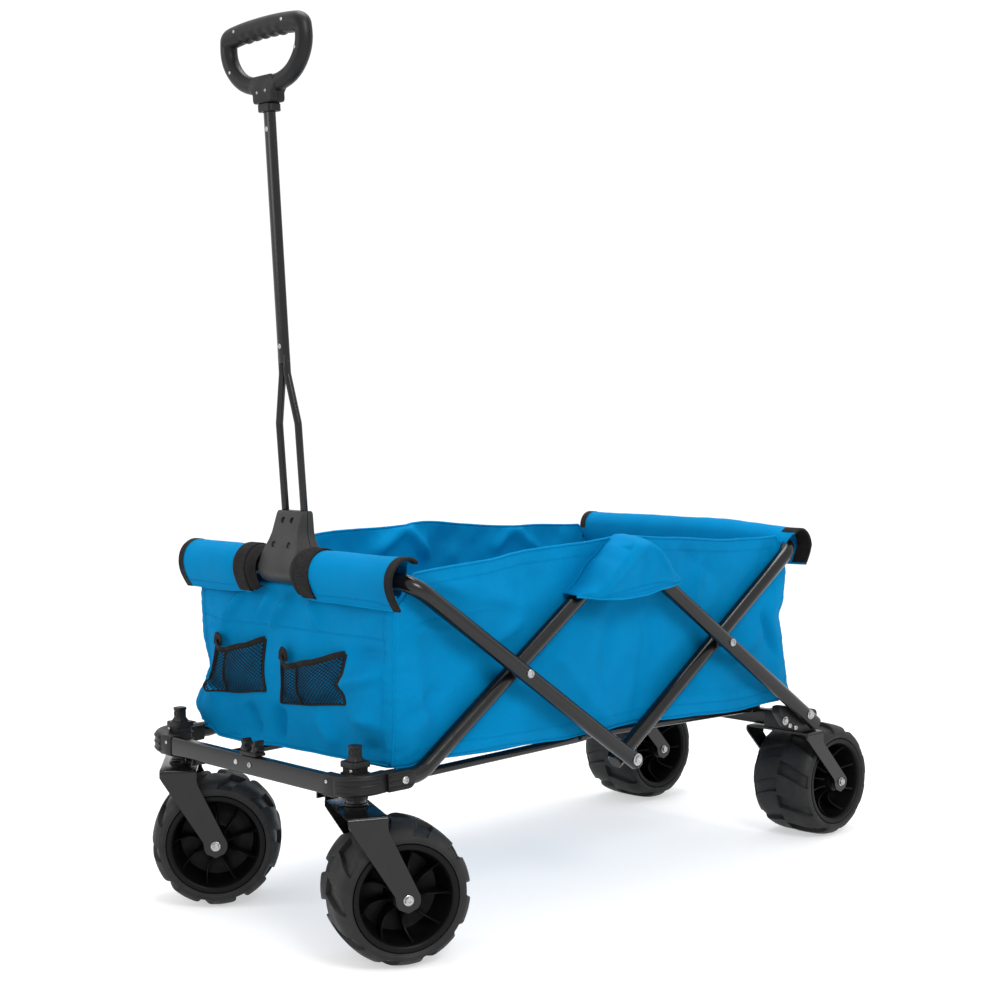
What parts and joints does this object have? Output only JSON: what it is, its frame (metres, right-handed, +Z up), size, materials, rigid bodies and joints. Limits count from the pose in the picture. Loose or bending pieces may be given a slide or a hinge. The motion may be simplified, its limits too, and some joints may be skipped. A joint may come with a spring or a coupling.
{
  "type": "folding beach cart",
  "caption": "Folding beach cart: a fabric tub in crossed steel tube frames that fold up like scissors, on wide wheels with swivelling front casters and a pull handle that tips forward.",
  "frame": {"origin": "on the ground, under the middle of the standing cart's box", "axes": "+Z up; -Y towards the pull handle and the swivel casters (front); +X to the cart's left"},
  "size_m": [0.5624, 1.09, 1.1933],
  "materials": {
    "steel_black": "satin black powder coat",
    "plastic_black": "moulded black plastic",
    "plastic_grey": "moulded dark grey plastic",
    "tyre": "matte tread",
    "bolt": "bright zinc",
    "fabric_blue": "woven polyester, bright blue",
    "mesh_black": "black mesh"
  },
  "bodies": {
    "front_base": {"front_cross_bar": "steel_black", "front_corner_left": "plastic_black", "front_corner_right": "plastic_black", "front_side_bracket_left": "plastic_black", "front_side_bracket_right": "plastic_black", "handle_clip": "plastic_black"},
    "front_arms": {"front_arm_left": "steel_black", "front_arm_right": "steel_black", "front_cross_bolt_left": "bolt", "front_cross_bolt_right": "bolt"},
    "front_frame": {"front_top_frame": "steel_black", "middle_tube": "steel_black"},
    "rear_frame": {"rear_top_frame": "steel_black", "rear_cross_bolt_left": "bolt", "rear_cross_bolt_right": "bolt"},
    "rear_arms": {"rear_arm_left": "steel_black", "rear_arm_right": "steel_black"},
    "rear_base": {"rear_cross_bar": "steel_black", "rear_corner_left": "plastic_black", "rear_corner_right": "plastic_black", "rear_fork_left": "steel_black", "rear_fork_right": "steel_black", "rear_axle_left": "bolt", "rear_axle_right": "bolt"},
    "flaps": {"side_flap_left": "fabric_blue", "side_flap_right": "fabric_blue"},
    "tub": {"front_panel": "fabric_blue", "side_panel_left": "fabric_blue", "side_panel_right": "fabric_blue", "tub_floor": "fabric_blue", "mesh_pocket_left": "mesh_black", "mesh_pocket_right": "mesh_black"},
    "tub_rear_wall": {"rear_panel": "fabric_blue"},
    "handle": {"handle_bracket_front": "plastic_grey", "handle_bracket_rear": "plastic_grey", "handle_rod_left": "steel_black", "handle_rod_right": "steel_black", "handle_tube": "steel_black", "handle_collar": "plastic_black", "grip_front": "plastic_black", "grip_rear": "plastic_black"},
    "front_floor_rods": {"floor_rod_front_left": "steel_black", "floor_rod_front_right": "steel_black"},
    "rear_floor_rods": {"floor_rod_rear_left": "steel_black", "floor_rod_rear_right": "steel_black"},
    "swivel_left": {"caster_fork_left": "steel_black", "front_axle_left": "bolt"},
    "front_wheel_left": {"rim_front_left": "plastic_black", "tyre_front_left": "tyre"},
    "rear_wheel_left": {"rim_rear_left": "plastic_black", "tyre_rear_left": "tyre"},
    "caster_button_left": {"caster_button_left": "plastic_black"},
    "swivel_right": {"caster_fork_right": "steel_black", "front_axle_right": "bolt"},
    "front_wheel_right": {"rim_front_right": "plastic_black", "tyre_front_right": "tyre"},
    "rear_wheel_right": {"rim_rear_right": "plastic_black", "tyre_rear_right": "tyre"},
    "caster_button_right": {"caster_button_right": "plastic_black"}
  },
  "joints": [
    {"name": "fold", "type": "hinge", "parent": "front_base", "child": "front_arms", "pos_m": [-0.01465, -0.4468, 0.2295], "axis": [1, 0, 0], "range_deg": [0, 46], "deforming": ["side_panel_left", "side_panel_right", "tub_floor"]},
    {"name": "front_cross", "type": "hinge", "parent": "front_arms", "child": "front_frame", "pos_m": [-0.01465, -0.2475, 0.3414], "axis": [1, 0, 0], "range_deg": [-92, 0]},
    {"name": "bottom_middle", "type": "hinge", "parent": "front_frame", "child": "rear_frame", "pos_m": [-0.01465, -0.0395, 0.1984], "axis": [1, 0, 0], "range_deg": [0, 92]},
    {"name": "rear_cross", "type": "hinge", "parent": "rear_frame", "child": "rear_arms", "pos_m": [-0.01465, 0.1685, 0.3414], "axis": [1, 0, 0], "range_deg": [-92, 0]},
    {"name": "rear_hinge", "type": "hinge", "parent": "rear_arms", "child": "rear_base", "pos_m": [-0.01465, 0.359, 0.2105], "axis": [1, 0, 0], "range_deg": [0, 46]},
    {"name": "flap_level", "type": "hinge", "parent": "front_arms", "child": "flaps", "pos_m": [-0.01465, -0.0395, 0.4844], "axis": [1, 0, 0], "range_deg": [-46, 0]},
    {"name": "tub_hang", "type": "hinge", "parent": "front_frame", "child": "tub", "pos_m": [-0.01465, -0.4399, 0.47368], "axis": [1, 0, 0], "range_deg": [0, 46]},
    {"name": "rear_wall_hang", "type": "hinge", "parent": "rear_frame", "child": "tub_rear_wall", "pos_m": [-0.01465, 0.3609, 0.47368], "axis": [1, 0, 0], "range_deg": [-46, 0]},
    {"name": "handle_tilt", "type": "hinge", "parent": "tub", "child": "handle", "pos_m": [-0.01465, -0.4399, 0.47368], "axis": [1, 0, 0], "range_deg": [-30, 122]},
    {"name": "front_floor_fold", "type": "hinge", "parent": "front_base", "child": "front_floor_rods", "pos_m": [-0.01465, -0.4915, 0.205], "axis": [1, 0, 0], "range_deg": [0, 71]},
    {"name": "rear_floor_fold", "type": "hinge", "parent": "rear_base", "child": "rear_floor_rods", "pos_m": [-0.01465, 0.369, 0.2035], "axis": [1, 0, 0], "range_deg": [-78, 0]},
    {"name": "swivel_left", "type": "hinge", "parent": "front_base", "child": "swivel_left", "pos_m": [0.17935, -0.4885, 0.2], "axis": [0, 0, 1], "continuous": true},
    {"name": "front_wheel_left", "type": "hinge", "parent": "swivel_left", "child": "front_wheel_left", "pos_m": [0.1998, -0.44342, 0.089], "axis": [0.9107, -0.4131, 0], "continuous": true},
    {"name": "rear_wheel_left", "type": "hinge", "parent": "rear_base", "child": "rear_wheel_left", "pos_m": [0.17135, 0.456, 0.089], "axis": [1, 0, 0], "continuous": true},
    {"name": "caster_button_left", "type": "slide", "parent": "front_base", "child": "caster_button_left", "axis": [0, 0, -1], "range_m": [0, 0.006], "stiffness_N_per_m": 500, "springref_m": -0.002},
    {"name": "swivel_right", "type": "hinge", "parent": "front_base", "child": "swivel_right", "pos_m": [-0.20865, -0.4885, 0.2], "axis": [0, 0, 1], "continuous": true},
    {"name": "front_wheel_right", "type": "hinge", "parent": "swivel_right", "child": "front_wheel_right", "pos_m": [-0.17872, -0.44907, 0.089], "axis": [0.7965, -0.6046, 0], "continuous": true},
    {"name": "rear_wheel_right", "type": "hinge", "parent": "rear_base", "child": "rear_wheel_right", "pos_m": [-0.20065, 0.456, 0.089], "axis": [1, 0, 0], "continuous": true},
    {"name": "caster_button_right", "type": "slide", "parent": "front_base", "child": "caster_button_right", "axis": [0, 0, -1], "range_m": [0, 0.006], "stiffness_N_per_m": 500, "springref_m": -0.002}
  ],
  "couplings": [
    {"joint": "front_cross", "follows": "fold", "ratio": -2},
    {"joint": "bottom_middle", "follows": "fold", "ratio": 2},
    {"joint": "rear_cross", "follows": "fold", "ratio": -2},
    {"joint": "rear_hinge", "follows": "fold", "ratio": 1},
    {"joint": "flap_level", "follows": "fold", "ratio": -1},
    {"joint": "tub_hang", "follows": "fold", "ratio": 1},
    {"joint": "rear_wall_hang", "follows": "fold", "ratio": -1},
    {"joint": "front_floor_fold", "follows": "fold", "ratio": 1.54},
    {"joint": "rear_floor_fold", "follows": "fold", "ratio": -1.69}
  ]
}
